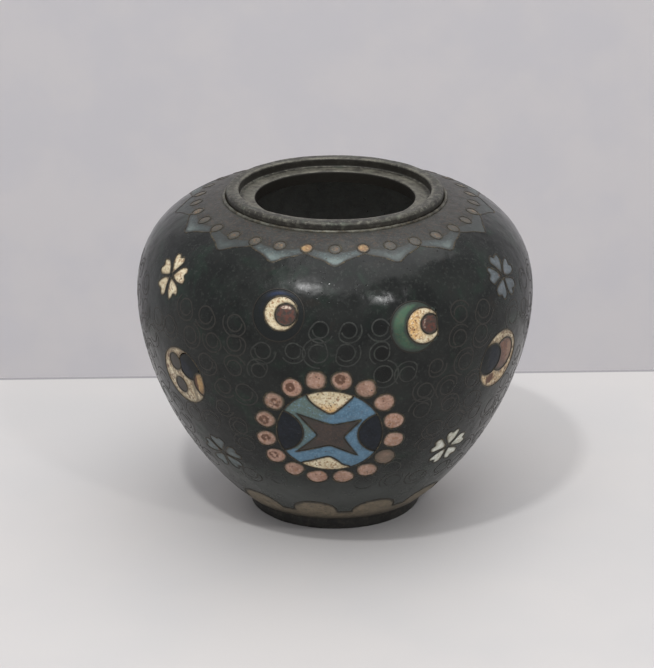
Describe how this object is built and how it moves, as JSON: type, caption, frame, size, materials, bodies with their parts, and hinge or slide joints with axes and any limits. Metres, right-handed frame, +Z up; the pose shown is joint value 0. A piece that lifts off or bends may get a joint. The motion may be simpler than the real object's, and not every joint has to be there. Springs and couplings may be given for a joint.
{
  "type": "cloisonne vase",
  "caption": "Squat round-shouldered cloisonne jar on a low foot ring, with a stepped metal collar at the mouth that seats a lid; it holds small things and stands free.",
  "frame": {"origin": "centre of the plane that the foot ring rests on", "axes": "+Z up along the axis of the vase, -Y towards the front, where the medallion is"},
  "size_m": [0.0886, 0.0884, 0.0742],
  "materials": {
    "copper": "spun copper, dull",
    "foot_metal": "blackened, satin",
    "collar_metal": "patinated bronze, satin",
    "brass_wire": "tarnished",
    "scroll_wire": "darkly tarnished",
    "lining_enamel": "dark enamel, satin",
    "black_enamel": "worn satin",
    "taupe_enamel": "worn satin",
    "slate_enamel": "worn satin",
    "gold_enamel": "pitted satin",
    "pink_enamel": "pitted matt",
    "blue_enamel": "satin",
    "brown_enamel": "satin",
    "cream_enamel": "pitted matt",
    "navy_enamel": "satin",
    "green_enamel": "satin",
    "grey_enamel": "satin",
    "pale_blue_enamel": "satin",
    "white_enamel": "pitted matt",
    "rust_enamel": "pitted matt"
  },
  "bodies": {
    "root": {"copper_body": "copper", "foot_ring": "foot_metal", "mouth_collar": "collar_metal", "collar_wire": "brass_wire", "foot_wire": "brass_wire", "inner_enamel": "lining_enamel", "base_enamel": "lining_enamel", "ground_enamel": "black_enamel", "scroll_wires": "scroll_wire", "shoulder_enamel": "taupe_enamel", "shoulder_wire": "brass_wire", "shoulder_lobes": "slate_enamel", "shoulder_beads": "gold_enamel", "shoulder_bead_wires": "brass_wire", "foot_border_enamel": "taupe_enamel", "foot_border_wire": "brass_wire", "medallion_beads": "pink_enamel", "medallion_bead_wires": "brass_wire", "medallion_ring_wire": "brass_wire", "medallion_blue_field": "blue_enamel", "medallion_star": "brown_enamel", "medallion_star_wire": "brass_wire", "medallion_caps": "cream_enamel", "medallion_side_lobes": "navy_enamel", "medallion_cell_wires": "brass_wire", "left_crescent": "cream_enamel", "left_crescent_eye": "brown_enamel", "left_crescent_halo": "navy_enamel", "left_crescent_wires": "brass_wire", "right_crescent": "cream_enamel", "right_crescent_eye": "brown_enamel", "right_crescent_halo": "green_enamel", "right_crescent_wires": "brass_wire", "cream_blossoms": "cream_enamel", "grey_blossoms": "grey_enamel", "blue_blossoms": "pale_blue_enamel", "white_blossoms": "white_enamel", "blossom_wires": "brass_wire", "left_roundel_cream": "cream_enamel", "left_roundel_eyes": "brown_enamel", "left_roundel_navy": "navy_enamel", "left_roundel_gold": "gold_enamel", "left_roundel_wires": "brass_wire", "right_roundel_cream": "cream_enamel", "right_roundel_rust": "rust_enamel", "right_roundel_navy": "navy_enamel", "right_roundel_wires": "brass_wire"}
  },
  "joints": []
}
